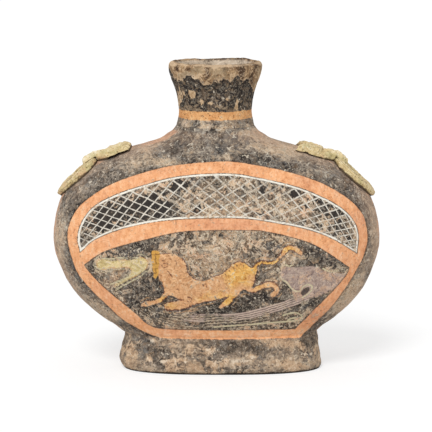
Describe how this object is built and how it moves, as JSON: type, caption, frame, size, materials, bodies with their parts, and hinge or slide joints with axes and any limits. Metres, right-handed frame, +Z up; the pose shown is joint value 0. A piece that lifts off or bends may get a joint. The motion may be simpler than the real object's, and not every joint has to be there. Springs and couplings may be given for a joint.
{
  "type": "flattened wine flask",
  "caption": "Flattened earthenware wine flask with round flared neck, oval ring foot, painted panel and animal mask-and-ring reliefs on the shoulders.",
  "frame": {"origin": "on the surface that the flask stands on, under the middle of its bounding box", "axes": "+X to the right along the broad width, +Y from the painted front to the back across the flattened depth, +Z up through the mouth"},
  "size_m": [0.3024, 0.132, 0.285],
  "materials": {
    "painted_slip": "matt charcoal slip over grey earthenware, painted in orange, white and yellow, with tan earth deposit",
    "earthy_clay": "matt grey earthenware, charcoal slip worn through to tan clay and earth",
    "ochre_relief": "matt yellow-green ochre over moulded clay"
  },
  "bodies": {
    "root": {"front_shell": "painted_slip", "back_shell": "painted_slip", "neck": "painted_slip", "foot": "earthy_clay", "left_mask": "ochre_relief", "right_mask": "ochre_relief", "left_ring": "ochre_relief", "right_ring": "ochre_relief"}
  },
  "joints": []
}
